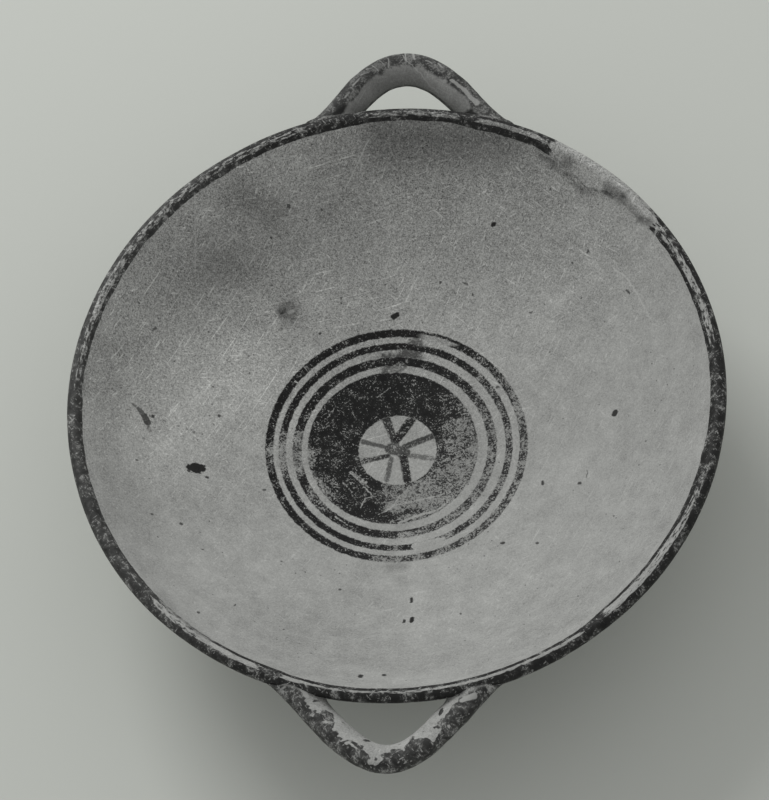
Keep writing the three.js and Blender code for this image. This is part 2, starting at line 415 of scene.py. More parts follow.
def joined_bowl(materials):
    """Body and handles united into one closed mesh, with the materials of the inside and the outside."""
    body = outward(body_piece())
    arms = [outward(handle_piece(h, n)) for h, n in zip(HANDLES, ("handle_far", "handle_near"))]
    for piece in [body, *arms]:
        for material in materials:
            piece.data.materials.append(material)
    for arm in arms:
        union = body.modifiers.new("join", "BOOLEAN")
        union.operation = "UNION"
        union.solver = "MANIFOLD"
        union.object = arm
    graph = bpy.context.evaluated_depsgraph_get()
    mesh = bpy.data.meshes.new_from_object(body.evaluated_get(graph))
    mesh.name = "pottery_bowl"
    bowl = in_scene("pottery_bowl", mesh)
    for spare in [body, *arms]:
        bpy.data.objects.remove(spare)
    mesh.polygons.foreach_set("use_smooth", np.ones(len(mesh.polygons), bool))
    write_marks(bowl)
    return bowl


# The camera

CAMERA_TARGET = Vector((0, 0, LIP_CENTRE)) * MM
CAMERA_DISTANCE = 9 * RIM_RADIUS
CAMERA_ELEVATION = 61.09
CAMERA_AZIMUTH = 7.99
CAMERA_ROLL = -7.55
FOCAL_PIXELS = 334.01 * 9
TARGET_PIXEL = (395.0, 390.5)
SENSOR = 36.0


def camera():
    """Looks down on the lip's centre, turned a little about its own axis, with the photo's frame."""
    e, a, roll = (math.radians(v) for v in (CAMERA_ELEVATION, CAMERA_AZIMUTH, CAMERA_ROLL))
    back = Vector((math.sin(a) * math.cos(e), -math.cos(a) * math.cos(e), math.sin(e)))
    level = Vector((math.cos(a), math.sin(a), 0))
    upright = back.cross(level)
    right = math.cos(roll) * level + math.sin(roll) * upright
    up = -math.sin(roll) * level + math.cos(roll) * upright
    place = CAMERA_TARGET + back * CAMERA_DISTANCE * MM
    data = bpy.data.cameras.new("camera")
    long_side = max(PHOTO_WIDTH, PHOTO_HEIGHT)
    data.sensor_width = SENSOR
    data.lens = FOCAL_PIXELS * SENSOR / long_side
    data.shift_x = (PHOTO_WIDTH / 2 - TARGET_PIXEL[0]) / long_side
    data.shift_y = (TARGET_PIXEL[1] - PHOTO_HEIGHT / 2) / long_side
    data.clip_start, data.clip_end = 0.01, 20
    eye = in_scene("camera", data)
    eye.matrix_world = Matrix.Translation(place) @ Matrix((right, up, back)).transposed().to_4x4()
    bpy.context.scene.camera = eye


# Node shorthand

class Nodes:
    """Adds nodes to one tree. Each call returns an output; a number or vector may stand for a socket."""

    def __init__(self, tree):
        self.tree = tree

    def fill(self, socket, value):
        if isinstance(value, bpy.types.NodeSocket):
            self.tree.links.new(value, socket)
        else:
            socket.default_value = value

    def add(self, kind, values, out=0, **settings):
        node = self.tree.nodes.new("ShaderNode" + kind)
        for key, value in settings.items():
            setattr(node, key, value)
        for key, value in values.items():
            if value is not None:
                self.fill(node.inputs[key], value)
        return node.outputs[out]

    def math(self, kind, a, b=None, c=None, clamp=False):
        return self.add("Math", {0: a, 1: b, 2: c}, operation=kind, use_clamp=clamp)

    def vector(self, kind, a, b=None, scale=None):
        out = "Value" if kind in ("LENGTH", "DOT_PRODUCT", "DISTANCE") else "Vector"
        return self.add("VectorMath", {0: a, 1: b, 3: scale}, out, operation=kind)

    def step(self, value, low, high, start=0.0, end=1.0):
        return self.add("MapRange", {0: value, 1: low, 2: high, 3: start, 4: end},
                        interpolation_type="SMOOTHSTEP")

    def mix(self, share, a, b):
        return self.add("Mix", {0: share, 2: a, 3: b}, data_type="FLOAT")

    def noise(self, place, size, detail=3.0, rough=0.55, bend=0.0):
        values = {"Vector": place, "Scale": 1 / size, "Detail": detail, "Roughness": rough,
                  "Distortion": bend}
        return self.add("TexNoise", values)

    def cells(self, place, size):
        return self.add("TexVoronoi", {"Vector": place, "Scale": 1 / size, "Randomness": 1.0}, "Distance")

    def moved(self, place, shift, turn=0.0):
        values = {"Vector": place, "Location": shift, "Rotation": (0, 0, math.radians(turn))}
        return self.add("Mapping", values, vector_type="TEXTURE")

    def most(self, *values):
        top = values[0]
        for value in values[1:]:
            top = self.math("MAXIMUM", top, value)
        return top

    def times(self, *values):
        total = values[0]
        for value in values[1:]:
            total = self.math("MULTIPLY", total, value)
        return total

    def linear(self, value, factor, base):
        """value times factor, plus base."""
        return self.math("MULTIPLY_ADD", value, factor, base)

    def swing(self, noise, amount, base):
        """base, moved by amount times the noise's distance from its middle."""
        return self.linear(self.math("SUBTRACT", noise, 0.5), amount, base)

    def rest(self, share):
        """What a share leaves of 1."""
        return self.math("SUBTRACT", 1.0, share)

    def band(self, value, low, high, soft):
        """1 from low to high, with edges soft wide inside that."""
        return self.times(self.step(value, low, low + soft), self.step(value, high, high - soft))

    def parts(self, vector):
        """A vector's three numbers."""
        return self.add("SeparateXYZ", {0: vector}).node.outputs

    def use(self, tree, **values):
        node = self.tree.nodes.new("ShaderNodeGroup")
        node.node_tree = tree
        for key, value in values.items():
            self.fill(node.inputs[key], value)
        return node.outputs


def group(name, takes, gives, build):
    """A node group with named sockets. build gets the nodes and inputs, and returns the outputs by name."""
    tree = bpy.data.node_groups.new(name, "ShaderNodeTree")
    for key, (kind, value) in takes.items():
        socket = tree.interface.new_socket(key, in_out="INPUT", socket_type="NodeSocket" + kind)
        if value is not None:
            socket.default_value = value
    for key, kind in gives.items():
        tree.interface.new_socket(key, in_out="OUTPUT", socket_type="NodeSocket" + kind)
    entry, leave = tree.nodes.new("NodeGroupInput"), tree.nodes.new("NodeGroupOutput")
    nodes = Nodes(tree)
    for key, socket in build(nodes, entry.outputs).items():
        nodes.fill(leave.inputs[key], socket)
    return tree


def place_group():
    """Point in millimetres, its plan, its radius with the out-of-round taken off, its angle as a share of a
    turn, and its height."""
    def build(n, _):
        point = n.vector("SCALE", n.add("TexCoord", {}, "Object"), scale=1 / MM)
        plan = n.vector("MULTIPLY", point, (1, 1, 0))
        parts = n.parts(point)
        angle = n.math("ARCTAN2", parts[1], parts[0])
        rise = n.step(parts[2], FOOT_CLEARANCE, LIP_CREST)
        wide = n.math("COSINE", n.linear(angle, 2.0, -2 * RIM_STRETCH_TURN))
        wider = n.linear(n.times(wide, rise), RIM_STRETCH / RIM_RADIUS, 1.0)
        radius = n.math("DIVIDE", n.vector("LENGTH", plan), wider)
        share = n.math("FRACT", n.linear(angle, 1 / (2 * math.pi), 1.0))
        return {"Point": point, "Plan": plan, "Radius": radius, "Share": share, "Height": parts[2]}
    return group("bowl_place", {}, {"Point": "Vector", "Plan": "Vector", "Radius": "Float", "Share": "Float",
                                    "Height": "Float"}, build)


def stroke_group():
    """One brush stroke or mark: how far inside the line from Start to End a place is, softened by Soft, is
    laid into the third part of Plan where it is stronger than what is there. The line's half width runs from
    Width to End Width."""
    def build(n, g):
        run = n.vector("SUBTRACT", g["End"], g["Start"])
        gone = n.vector("MULTIPLY", n.vector("SUBTRACT", g["Plan"], g["Start"]), (1, 1, 0))
        share = n.math("DIVIDE", n.vector("DOT_PRODUCT", gone, run), n.vector("DOT_PRODUCT", run, run),
                       clamp=True)
        off = n.vector("LENGTH", n.vector("SUBTRACT", gone, n.vector("SCALE", run, scale=share)))
        inside = n.math("SUBTRACT", n.mix(share, g["Width"], g["End Width"]), off)
        cover = n.times(n.step(inside, n.times(g["Soft"], -1.0), g["Soft"]), g["Strength"])
        return {"Plan": n.vector("MAXIMUM", g["Plan"], n.add("CombineXYZ", {0: -1e4, 1: -1e4, 2: cover}))}
    takes = {"Plan": ("Vector", None), "Start": ("Vector", None), "End": ("Vector", None),
             "Width": ("Float", 1.0), "End Width": ("Float", 1.0), "Soft": ("Float", 0.15),
             "Strength": ("Float", 1.0)}
    return group("brush_stroke", takes, {"Plan": "Vector"}, build)


# Fine scratches in the clay: shift, turn, squeeze along, across and down, roughness, and the noise values
# where they start and are full
SCRATCHES = [
    ((0, 0, 0), 62, (0.05, 2.0, 0.6), 0.50, 0.63, 0.70), ((0, 0, 0), 17, (0.06, 1.8, 0.6), 0.55, 0.64, 0.71),
    ((7, 3, 0), -38, (0.10, 2.1, 0.8), 0.55, 0.65, 0.71),
]
SCRATCH_STRENGTH = 0.36


def clay_group():
    """Fired clay: cloudy tone, mottling, grain, fine pits and turning lines, with a fine bump."""
    def build(n, g):
        p = g["Point"]
        cloud = n.noise(p, 42.0, 2.0, 0.5, 0.6)
        mottle = n.noise(n.moved(p, (3, 9, 1)), 7.0, 4.0, 0.62)
        grain = n.noise(p, 0.8, 2.0, 0.75)
        fine = n.noise(n.moved(p, (5, 1, 8)), 0.42, 1.0, 0.5)
        tone = n.swing(cloud, 0.42, 1.0)
        tone = n.swing(mottle, 0.62, tone)
        gritty = n.times(n.math("SUBTRACT", n.mix(0.5, grain, fine), 0.5), g["Grit"])
        tone = n.linear(gritty, 2.1, tone)
        lines = n.math("SINE", n.linear(mottle, 5.0, n.times(g["Radius"], 2.1)))
        tone = n.linear(lines, 0.012, tone)
        patchy = n.step(n.noise(n.moved(p, (17, 4, 2)), 15.0, 2.0), 0.42, 0.68)
        specks = n.step(n.cells(p, 2.6), 0.07, 0.13, 1.0, 0.0)
        tiny = n.step(n.cells(n.moved(p, (1, 2, 3)), 1.15), 0.08, 0.16, 1.0, 0.0)
        pits = n.most(n.times(specks, patchy, 0.62), n.times(tiny, patchy, 0.28))
        tone = n.times(tone, n.rest(pits))
        scratched = 0.0
        for shift, turn, squeeze, rough, low, high in SCRATCHES:
            drawn_out = n.vector("MULTIPLY", n.moved(p, shift, turn), squeeze)
            scratched = n.most(scratched, n.step(n.noise(drawn_out, 1.0, 2.0, rough), low, high))
        tone = n.linear(scratched, n.times(g["Grit"], SCRATCH_STRENGTH), tone)
        height = n.linear(grain, 0.05, n.times(pits, -0.09))
        height = n.linear(mottle, 0.22, height)
        return {"Tone": n.times(tone, g["Tone"]), "Height": height, "Mottle": mottle}
    takes = {"Point": ("Vector", None), "Radius": ("Float", 0.0), "Tone": ("Float", 0.3),
             "Grit": ("Float", 0.5)}
    return group("fired_clay", takes, {"Tone": "Float", "Height": "Float", "Mottle": "Float"}, build)


def slip_group():
    """Dark slip worn off the clay: Cover is where it was painted, Wear how much of it has rubbed away.
    It goes in fine flecks, in patches and along short scratches, and thins to a grey film when worn."""
    def build(n, g):
        p = g["Point"]
        patch = n.math("SUBTRACT", n.noise(n.moved(p, (2, 7, 5)), 3.4, 4.0, 0.65, 0.5), 0.5)
        fleck = n.math("SUBTRACT", n.noise(n.moved(p, (9, 1, 6)), 0.62, 2.0, 0.75, 0.3), 0.5)
        one_way = n.noise(n.vector("MULTIPLY", n.moved(p, (0, 0, 0), 35), (0.45, 1.9, 1.0)), 1.0, 2.0, 0.6)
        other_way = n.noise(n.vector("MULTIPLY", n.moved(p, (5, 0, 0), -55), (0.40, 1.7, 1.0)), 1.0, 2.0, 0.6)
        hair = n.math("SUBTRACT", n.most(one_way, other_way), 0.5)
        wear = g["Wear"]
        fleck = n.times(fleck, g["Fleck"])
        fine = n.linear(patch, 0.50, n.linear(wear, 0.30, fleck))
        chips = n.step(fine, 0.13, 0.21)
        lines = n.step(n.linear(patch, 0.4, n.linear(wear, 0.22, hair)), 0.20, 0.27)
        thin = n.linear(patch, 1.5, n.linear(fleck, 1.3, wear))
        film = n.times(n.step(thin, 0.26, 0.92), 0.62)
        bare = n.step(n.linear(patch, 2.2, wear), 0.85, 1.15)
        gone = n.most(film, n.times(chips, 0.86), n.times(lines, 0.78), n.times(bare, 0.95))
        tone = n.most(n.linear(patch, 0.03, n.linear(wear, 0.012, 0.010)), 0.006)
        left = n.times(g["Cover"], n.rest(gone))
        return {"Mask": left, "Tone": tone, "Worn": n.times(g["Cover"], gone)}
    takes = {"Point": ("Vector", None), "Cover": ("Float", 0.0), "Wear": ("Float", 0.3),
             "Fleck": ("Float", 1.0)}
    return group("worn_slip", takes, {"Mask": "Float", "Tone": "Float", "Worn": "Float"}, build)


# The painted medallion, in plan millimetres

RINGS = [(-2.55, -0.15, 30.3, 33.3), (-2.16, -0.20, 35.8, 38.1), (-1.85, -0.20, 40.1, 42.7)]
DISK = (-3.2, 0.0, 27.8)
TONDO = (-1.7, -0.2, 12.7)
# Strokes: x, y, x, y, half width at the start and at the end, strength
STAR = [
    (-5.7, 11.3, -3, 3.7, 1.6, 1, 0.95), (2.7, 11.3, -2.3, 3.7, 1.5, 1.4, 1),
    (9.7, 5, 0.7, 1.3, 1.1, 1.1, 0.9), (10, -3.3, 1.3, -1.7, 0.9, 0.9, 0.62),
    (1.8, -11.3, 0.2, -2.3, 1.3, 1.3, 1), (-5, -11, -3.7, -3, 0.85, 0.8, 0.7),
    (-13.3, -4.3, -4.7, -2, 1.1, 0.75, 0.95), (-13, 3, -5, 1, 0.9, 0.6, 0.75),
    (-4, 0.6, 0.8, -0.9, 2, 1.6, 0.85), (-3, 4.5, -2, 0, 1.2, 1.2, 0.8), (0.7, 1.3, -2, 0, 1.1, 1.2, 0.7),
    (0.2, -2.3, -1.2, -0.6, 1.3, 1.2, 0.85),
]
# Thin slip smeared across the rings
SMEARS = [(-5.5, 27.5, 3.5, 36.5, 2.6, 3.4, 0.72), (-7.0, 33.5, 5.0, 33.0, 1.4, 1.4, 0.6)]
# Places where the medallion's paint is scraped off
SCRAPES = [
    (-0.5, -27.3, 4.5, -25, 0.4, 0.5, 0.9), (4.5, -25, 11.8, -22.7, 0.45, 0.45, 0.9),
    (11.8, -22.7, 15, -20, 0.45, 0.25, 0.9), (-1.8, -20.5, 6.4, -18.6, 0.25, 0.3, 0.8),
    (6.4, -18.6, 13.6, -16.8, 0.3, 0.25, 0.8), (13.6, -16.8, 15.5, -12.7, 0.25, 0.2, 0.7),
    (-0.9, -17.3, -2.3, -20.5, 0.3, 0.3, 0.8), (-2.3, -20.5, -4.5, -22.7, 0.3, 0.3, 0.8),
    (-4.5, -22.7, -7.3, -24.1, 0.3, 0.2, 0.8), (-13.2, -21.8, -11.8, -18.2, 0.25, 0.3, 0.8),
    (-11.8, -18.2, -9.1, -17.3, 0.3, 0.25, 0.8), (-9.1, -17.3, -12.3, -13.6, 0.25, 0.3, 0.8),
    (0.9, 21.8, 6.4, 18.2, 0.25, 0.25, 0.4), (6.4, 18.2, 10, 13.6, 0.25, 0.2, 0.4),
    (-16.5, -8.6, -12.3, -12.2, 0.8, 1, 0.6), (-30, -9.5, -24, -16, 1.6, 1.3, 0.52),
    (-36, -4, -33, 6, 1.2, 1.2, 0.35), (-25.6, 37.2, -24.4, 35.6, 0.35, 0.35, 0.9),
    (-35.8, 23.4, -34.2, 22.4, 0.4, 0.4, 0.9), (-4.4, 28.4, -1.4, 30.4, 1.3, 1.4, 0.56),
    (-21, -25.5, -16, -29, 0.5, 0.4, 0.6), (-25, 11, -22.5, 15, 0.35, 0.3, 0.55),
    (-19, -12.5, -16, -16, 0.4, 0.3, 0.6), (18, 4, 21.5, -1.5, 0.5, 0.4, 0.4),
    (-8, 19.5, -5, 22.5, 0.3, 0.3, 0.5), (12, 30.5, 15, 29, 0.3, 0.3, 0.6),
    (36, 14, 38.2, 10, 0.4, 0.4, 0.5), (5, -36.6, 14.5, -34.4, 1.3, 1.3, 0.95),
    (14.5, -34.4, 18.5, -32.2, 1.3, 0.6, 0.5), (0.5, -32, 3, -31.8, 1.5, 1.4, 0.55),
    (-14, -20, -17.5, -14, 0.3, 0.3, 0.5), (7.6, -10, 11.4, -14.4, 0.3, 0.3, 0.5),
    (20, -15, 17, -20, 0.4, 0.3, 0.5),
]
# Longer dark marks on the clay: x, y, length, width, turn, strength
SPOTS = [
    (-28, 40.2, 1.2, 1, 0, 0.8), (-67.1, -13.5, 2.9, 2.5, 0, 1), (-63.9, -12.9, 3, 2.8, 0, 1),
    (-66.7, -14.9, 1.2, 1.1, 0, 1), (-63, -11.9, 1, 0.9, 0, 1), (-64.4, -14.7, 1.2, 1, 0, 1),
    (-3.3, 46.9, 3.3, 1.9, 25, 1), (-65.5, -13.3, 4.3, 3.9, 15, 1), (-62, -15.9, 1.4, 1, 0, 0.9),
    (-67.6, -14.6, 1.6, 1.4, 0, 0.9), (-84.3, 3.2, 2.9, 1, -31, 0.62),
    (-82.7, 1.8, 4.1, 1.7, -48, 0.75), (-81.3, -0.1, 4.6, 2.2, -63, 0.85),
    (-80.4, -2.5, 4, 1.4, -73, 0.62), (-86.4, 1, 1.6, 0.7, 40, 0.35), (-81.4, -7, 1.2, 1, 0, 0.5),
    (-79.6, 1.6, 1.5, 1.3, 0, 0.9), (-75.8, 1.2, 0.9, 0.8, 0, 0.5), (-74.9, -0.4, 1, 0.8, 0, 0.45),
    (-75.2, -1.9, 0.8, 0.7, 0, 0.4), (-71.7, 0.5, 1.2, 0.7, 0, 0.55), (-68.4, 0.3, 1.8, 0.8, 0, 0.5),
    (-67, -0.3, 1.2, 0.9, 0, 0.55), (-82.9, -16.1, 1, 0.6, 0, 0.8), (-80, 31, 2.2, 0.8, 45, 0.7),
    (29.7, 73.1, 1.8, 1.5, 0, 1), (10, 55.3, 1.5, 1, 90, 0.4), (20, 56.5, 2.4, 0.6, -27, 0.7),
    (37, 53, 4, 1, 0, 0.25), (42, 44.8, 1.3, 0.6, 0, 0.7), (73.7, 43.3, 2.4, 0.7, -53, 0.8),
    (69, 4.8, 2.6, 1.8, 70, 0.95), (30.8, 21, 1.3, 0.8, 0, 0.8), (-68.2, -36.2, 1.3, 1.2, 0, 0.85),
    (-44, -17.5, 1.3, 0.8, 0, 0.8), (-49.2, -65.9, 1.1, 0.6, 90, 0.8),
    (-8.5, -94.5, 2, 1.5, 90, 0.95), (-1.5, -93.6, 1.4, 1.3, 0, 0.9), (4.7, -58.5, 2.6, 1, 90, 0.95),
    (5.2, -67, 2.8, 1.4, 80, 1), (2.8, -67.5, 1.8, 1.1, 80, 0.95), (33, -37.2, 1.7, 1.1, 0, 0.9),
    (44.1, -39, 1.1, 1, 0, 0.85), (45.7, -15.8, 1.8, 1, 90, 0.9), (57.6, -18.3, 1.3, 1.2, 0, 0.85),
    (60, -15.3, 3, 0.5, 85, 0.7), (82.7, -19.6, 0.9, 0.8, 0, 0.5), (69.7, -54.2, 1, 0.5, 90, 0.7),
    (-6.5, -41.9, 1.4, 0.9, 0, 0.5),
]
# Round dark specks: their width and strength, and the places of each kind
SPECKS = {
    (1.2, 0.85): [(-59.4, 7.4)],
    (1.2, 0.8): [(-38, 77.6), (-59, -73)],
    (1, 0.8): [(-80.1, 1.4), (60.8, 59.3), (-18.1, -54.5)],
    (0.9, 0.8): [(-43.9, 67.9), (-27.3, 78), (11.8, 57.3), (-76.7, -35.3)],
    (0.8, 0.8): [(-13.2, 63.8), (22.5, 52.8), (55.7, 57.2), (58.6, 45.9), (-33.8, -73.7),
        (20.5, -65.3)],
    (0.8, 0.5): [(78.5, -9)],
    (0.7, 0.8): [(-32.4, 74.7), (-9.2, 75.7), (-21.2, 52.2), (-84.5, 37.3), (-63.5, 35.3),
        (-61.7, 17.2), (-73.8, 22.6), (48.7, 79.2), (-60, -32.8), (-61, -44.6), (-36.9, -44.6),
        (68.3, -34.1)],
    (0.7, 0.7): [(-21.2, 50.5)],
    (0.7, 0.6): [(-50.5, 24)],
    (0.7, 0.5): [(33.5, -60)],
    (0.6, 0.8): [(-6.5, 56.9), (45.5, 67.5), (46.5, 46.3)],
    (0.6, 0.7): [(-11.8, 66.4), (-2, 66.3), (-61.7, 10.9), (48, 30.7), (66, 36.5), (-74.2, -44),
        (57, -65.2), (22.2, -77.7)],
}
# Light marks on the clay: x, y, x, y, half width, half width, strength
NICKS = [
    (69, 52, 73, 48, 0.2, 0.22, 0.7), (73, 48, 76.5, 42, 0.22, 0.22, 0.7),
    (76.5, 42, 79, 36, 0.22, 0.2, 0.6), (79, 36, 81, 32, 0.2, 0.15, 0.5),
    (-19.9, 83.6, -11.5, 96.5, 0.2, 0.2, 0.6), (-67.5, 74, -67.9, 53, 0.18, 0.16, 0.45),
    (-73.1, 65.8, -74.2, 53.5, 0.18, 0.16, 0.42), (-60.6, 61.8, -54.8, 66.8, 0.2, 0.16, 0.5),
    (-67.8, 56.1, -59.3, 57.1, 0.16, 0.14, 0.42), (-92, 38, -86, 38.5, 0.18, 0.14, 0.45),
    (-25.9, 72.5, -26.2, 58, 0.2, 0.18, 0.4), (-56.3, 66, -44.4, 63.1, 0.16, 0.14, 0.42),
    (-70.3, -6.1, -70, -7.3, 0.6, 0.4, 0.7), (-43.8, 37.8, -39, 40.5, 0.3, 0.25, 0.5),
    (-37, 46.6, -38.2, 46, 0.5, 0.5, 0.4), (3.8, 71.8, 3.9, 71.8, 0.3, 0.3, 0.8),
    (-24, 70, -20.5, 77, 0.15, 0.15, 0.45), (-55, 62, -51, 57, 0.15, 0.15, 0.5),
    (-48, 56, -39, 63, 0.15, 0.12, 0.4), (-30, 58, -27, 66, 0.15, 0.12, 0.4),
    (-76, 12, -69, 16, 0.15, 0.15, 0.4), (-15, 60, -9, 71, 0.14, 0.12, 0.4),
    (-33, 88, -29, 80, 0.16, 0.14, 0.45), (7, 80, 12, 92, 0.15, 0.12, 0.4),
    (-60, -26, -52, -29, 0.14, 0.12, 0.35), (40, -50, 47, -44, 0.14, 0.12, 0.35),
    (-86, 4.6, -83.2, 3.4, 0.4, 0.3, 0.5), (-79.3, -1.2, -80.4, -4.4, 0.4, 0.3, 0.45),
    (60.9, -14.4, 60.6, -16.6, 0.25, 0.2, 0.4), (-52, 8, -47, 3, 0.14, 0.1, 0.35),
]
# Broad soft stains, and painted shade darkening the far and upper left inner wall: x, y, x, y, half width,
# half width, softness, strength
STAINS_AND_SHADE = [
    (-53, 77, -43, 75, 3.5, 3.5, 7, 0.4), (-62, 58, -56, 58, 4, 5, 9, 0.32),
    (-70, 46, -20, 82, 8, 7, 14, 0.24), (-6, 98, 34, 95, 6, 5, 8, 0.52), (-22, 96, 40, 90, 5, 5, 14, 0.16),
    (60, -60, 76, 20, 15, 12, 26, 0.1), (-30, -86, 40, -86, 6, 6, 20, 0.08),
    (-38.3, 45.9, -38.3, 45.9, 3, 3, 4, 0.6), (-40.8, 45.9, -40, 45.9, 0.9, 0.9, 1.2, 0.85),
    (-41, 40.3, -38.9, 41.6, 0.2, 0.3, 0.7, 0.5), (-8, 70, 36, 70, 12, 12, 22, 0.16),
    (-37, 44, -36, 46.6, 0.4, 0.4, 0.9, 0.45), (-39.8, 48.4, -36.8, 49, 0.4, 0.4, 0.9, 0.4),
    (-70, -70, -55, -86, 0.8, 0.8, 2.6, 0.22), (-79, -57, -66, -74, 0.4, 0.6, 2, 0.16),
    (-3, -44.5, 2, -44.5, 0.8, 0.8, 1.8, 0.38), (-6, 33, 4, 32, 2.6, 2.6, 3, 0.3),
    (-29.2, 37.2, -29.2, 37.4, 1.4, 1.4, 1, 0.22), (-29.3, -51.8, -29.3, -51.8, 0.4, 0.4, 0.6, 0.25),
    (46, -58.3, 48.7, -57.8, 0.3, 0.3, 0.6, 0.25), (35.5, -69.3, 35.5, -69.3, 0.3, 0.3, 0.6, 0.25),
    (54, 84.5, 55.5, 84, 1.2, 1.2, 1.6, 0.55), (67, 74, 72, 70, 1.3, 1.3, 1.8, 0.6),
    (45, 89, 50, 85, 0.7, 0.7, 1, 0.6), (50, 85, 54.5, 81, 0.6, 0.5, 0.8, 0.55),
    (54.5, 81, 59, 76, 0.5, 0.5, 0.7, 0.55), (59, 76, 62.5, 74.5, 0.5, 0.6, 0.7, 0.55),
    (72, 70, 78, 62, 0.6, 0.6, 1, 0.55), (78, 62, 81, 60, 0.8, 1, 1.2, 0.6),
    (-93, 18, -86, -34, 1, 1, 6, 0.14), (70, -66, 90, -30, 1, 1, 8, 0.1),
]
# Small pale spots, and broad painted light on the left inner wall: as the stains
PALE_SPOTS_AND_PAINTED_LIGHT = [
    (51, 46.5, 51, 46.5, 2, 2, 3.5, 0.12), (-37.2, 46.4, -37.2, 46.4, 0.7, 0.7, 1.3, 0.6),
    (-52, -36, -40, -22, 10, 10, 20, 0.15), (-76, -4, -52, 24, 13, 13, 20, 0.38),
]
# Dark patches where the far handle's arms meet the lip, and a short crack: as the medallion's strokes
ROOT_PATCHES = [
    (-22.6, 103.6, -20.3, 105.1, 0.7, 1.1, 0.95), (-20.3, 105.1, -18.7, 107.3, 1, 0.5, 0.9),
    (19.6, 104.3, 22.8, 104.7, 0.4, 0.8, 0.95), (22.8, 104.7, 27.4, 99.7, 0.9, 0.6, 0.95),
    (15.2, 115.3, 16.8, 117.1, 0.26, 0.2, 0.9),
]
# Light scratches and bare spots on the handles
HANDLE_NICKS = [
    (0.4, 127.3, 1, 124.2, 0.3, 0.3, 0.8), (2.8, 126.8, 3.8, 124.2, 0.3, 0.3, 0.8),
    (-0.5, 126, 6.2, 118.5, 0.17, 0.14, 0.7), (6.2, 118.5, 11.5, 113.3, 0.14, 0.14, 0.55),
    (-10.2, 122.2, -8.3, 119.9, 0.18, 0.15, 0.7), (-5.1, 124.4, -4.8, 121.5, 0.2, 0.15, 0.7),
    (-7.9, 124.6, -6.6, 122.5, 0.15, 0.12, 0.6), (-12.5, 120.6, -10.5, 121, 0.15, 0.12, 0.6),
    (-14.1, 118.3, -11.8, 119, 0.15, 0.12, 0.6), (-16.7, 114.3, -14.7, 116.7, 0.35, 0.2, 0.6),
    (-3.3, 126.7, -1.5, 126.3, 0.15, 0.12, 0.6), (16.3, 116, 20.3, 112, 0.5, 0.7, 0.7),
    (20.3, 112, 24.7, 107.1, 0.8, 0.9, 0.7), (11.7, 122.4, 13, 120.9, 0.35, 0.3, 0.7),
    (7.5, 123.5, 9.5, 122.4, 0.2, 0.25, 0.6), (-19.2, 109.9, -17.8, 111.7, 0.3, 0.3, 0.5),
    (22.5, -105.9, 26.3, -104.4, 0.7, 0.9, 0.9), (-26.3, -100.9, -23.5, -104.1, 0.8, 0.8, 0.7),
    (-31.7, -101.9, -30.2, -101.2, 0.3, 0.3, 0.6), (30.8, -102.1, 31.9, -99.2, 0.4, 0.5, 0.7),
]
